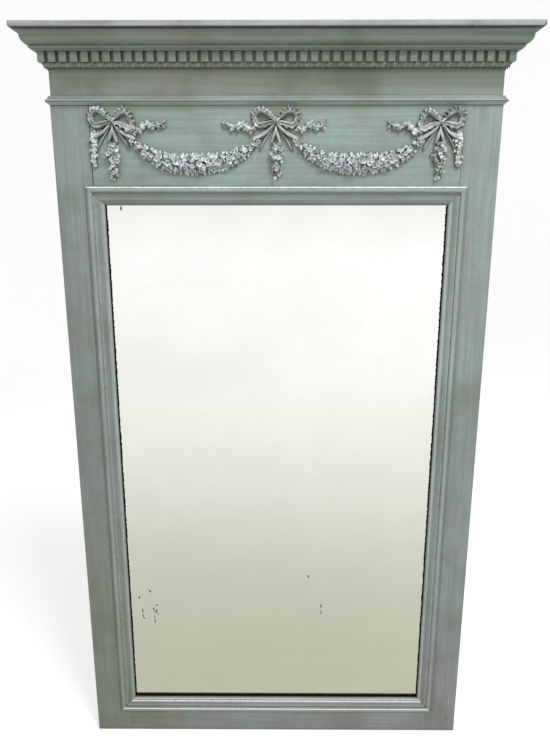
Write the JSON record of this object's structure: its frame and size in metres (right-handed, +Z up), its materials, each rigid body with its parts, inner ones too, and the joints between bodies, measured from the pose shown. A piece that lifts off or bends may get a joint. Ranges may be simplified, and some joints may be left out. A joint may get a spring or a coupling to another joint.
{
  "type": "trumeau mirror",
  "caption": "Tall painted wall mirror: framed rectangular plate below a frieze panel with ribbon bows and flower swags, under a dentil cornice; hinged hanging rings on the back.",
  "frame": {"origin": "middle of the bottom edge, on the face that stands against the wall", "axes": "+X to the right seen from the front, +Y into the wall, +Z up; the glass faces -Y"},
  "size_m": [0.902, 0.074, 1.4575],
  "materials": {
    "painted_carcass": "chalky grey-blue paint",
    "painted_moulding": "chalky grey-blue paint with olive patina",
    "painted_ornament": "chalky pale blue paint with dark recesses",
    "mirror_glass": "old silvering with a few dark specks",
    "black_wood": "blackened",
    "bare_wood": "bare aged softwood",
    "steel": "zinc plated",
    "iron": "dull"
  },
  "bodies": {
    "mirror": {"back_plank_left": "bare_wood", "back_plank_middle": "bare_wood", "back_plank_right": "bare_wood", "bed_moulding_front": "painted_moulding", "bed_moulding_left": "painted_moulding", "bed_moulding_right": "painted_moulding", "board_dowels": "bare_wood", "bottom_rail": "painted_carcass", "bow_centre": "painted_ornament", "bow_left": "painted_ornament", "bow_right": "painted_ornament", "carved_moulding_front": "painted_moulding", "carved_moulding_left": "painted_moulding", "carved_moulding_right": "painted_moulding", "crown_moulding_front": "painted_moulding", "crown_moulding_left": "painted_moulding", "crown_moulding_right": "painted_moulding", "dentils_front": "painted_moulding", "dentils_left": "painted_moulding", "dentils_right": "painted_moulding", "drop_left": "painted_ornament", "drop_right": "painted_ornament", "frieze_board": "painted_carcass", "frieze_panel": "painted_carcass", "glazing_blocks": "bare_wood", "glazing_slip_bottom": "black_wood", "glazing_slip_left": "black_wood", "glazing_slip_right": "black_wood", "glazing_slip_top": "black_wood", "hanger_screws": "steel", "hanger_strap_left": "steel", "hanger_strap_right": "steel", "mirror_plate": "mirror_glass", "neck_moulding_front": "painted_moulding", "neck_moulding_left": "painted_moulding", "neck_moulding_right": "painted_moulding", "pendant_centre": "painted_ornament", "pendant_left": "painted_ornament", "pendant_right": "painted_ornament", "plank_nails": "iron", "sight_moulding_bottom": "painted_moulding", "sight_moulding_left": "painted_moulding", "sight_moulding_right": "painted_moulding", "sight_moulding_top": "painted_moulding", "spray_centre_left": "painted_ornament", "spray_centre_right": "painted_ornament", "spray_left": "painted_ornament", "spray_right": "painted_ornament", "stile_left": "painted_carcass", "stile_right": "painted_carcass", "swag_left": "painted_ornament", "swag_right": "painted_ornament", "tenon_pegs": "bare_wood", "top_board": "painted_moulding", "top_board_nails": "iron"},
    "ring_left": {"hanger_ring_left": "steel"},
    "ring_right": {"hanger_ring_right": "steel"}
  },
  "joints": [
    {"name": "ring_left_swing", "type": "hinge", "parent": "mirror", "child": "ring_left", "pos_m": [-0.37075, -0.00567, 1.085], "axis": [1, 0, 0], "range_deg": [0, 180]},
    {"name": "ring_right_swing", "type": "hinge", "parent": "mirror", "child": "ring_right", "pos_m": [0.37075, -0.00567, 1.085], "axis": [1, 0, 0], "range_deg": [0, 180]}
  ]
}
